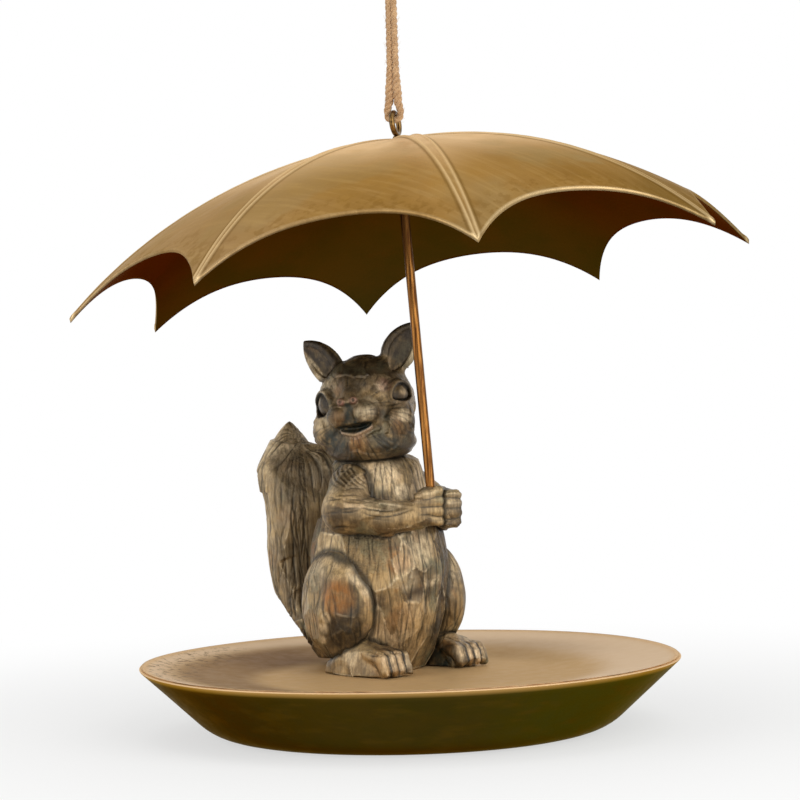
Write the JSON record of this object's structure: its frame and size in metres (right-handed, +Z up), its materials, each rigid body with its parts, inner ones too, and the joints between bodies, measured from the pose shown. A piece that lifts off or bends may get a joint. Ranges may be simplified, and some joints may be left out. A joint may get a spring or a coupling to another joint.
{
  "type": "hanging bird feeder",
  "caption": "Hanging bird feeder: a squirrel figure sits in a round dish and holds a scalloped umbrella canopy on a rod, with a cord looped through an eye at the crown.",
  "frame": {"origin": "centre of the dish's flat base ring, on the plane it rests on", "axes": "+Z up, the figure's body faces -Y, its head is turned towards -X"},
  "size_m": [0.2638, 0.262, 0.3398],
  "materials": {
    "dish_bronze": "cast resin with a satin bronze-gold metallic finish",
    "figure_bronze": "carved cast resin, antique bronze with dark recesses and rubbed highlights",
    "canopy_bronze": "satin bronze-gold, darker underneath",
    "rod_copper": "satin copper-bronze",
    "steel": "plain zinc-plated",
    "insert_brass": "plain brass",
    "jute": "twisted natural jute, fuzzy"
  },
  "bodies": {
    "feeder": {"dish": "dish_bronze", "torso": "figure_bronze", "head": "figure_bronze", "tail": "figure_bronze", "right_arm": "figure_bronze", "left_arm": "figure_bronze", "right_haunch": "figure_bronze", "left_haunch": "figure_bronze", "right_foot": "figure_bronze", "left_foot": "figure_bronze", "dowel_pins": "steel", "base_screws": "steel", "base_washers": "steel", "base_inserts": "insert_brass", "pole": "rod_copper", "canopy": "canopy_bronze", "crown_hub": "rod_copper", "hanging_eye": "rod_copper"},
    "cord": {"cord_legs": "jute", "cord_knot": "jute", "cord_loop": "jute"}
  },
  "joints": [
    {"name": "rope_swing", "type": "hinge", "parent": "feeder", "child": "cord", "pos_m": [0.01126, 0.01186, 0.23663], "axis": [0.8901, 0.4558, 0], "range_deg": [-90, 90]}
  ]
}
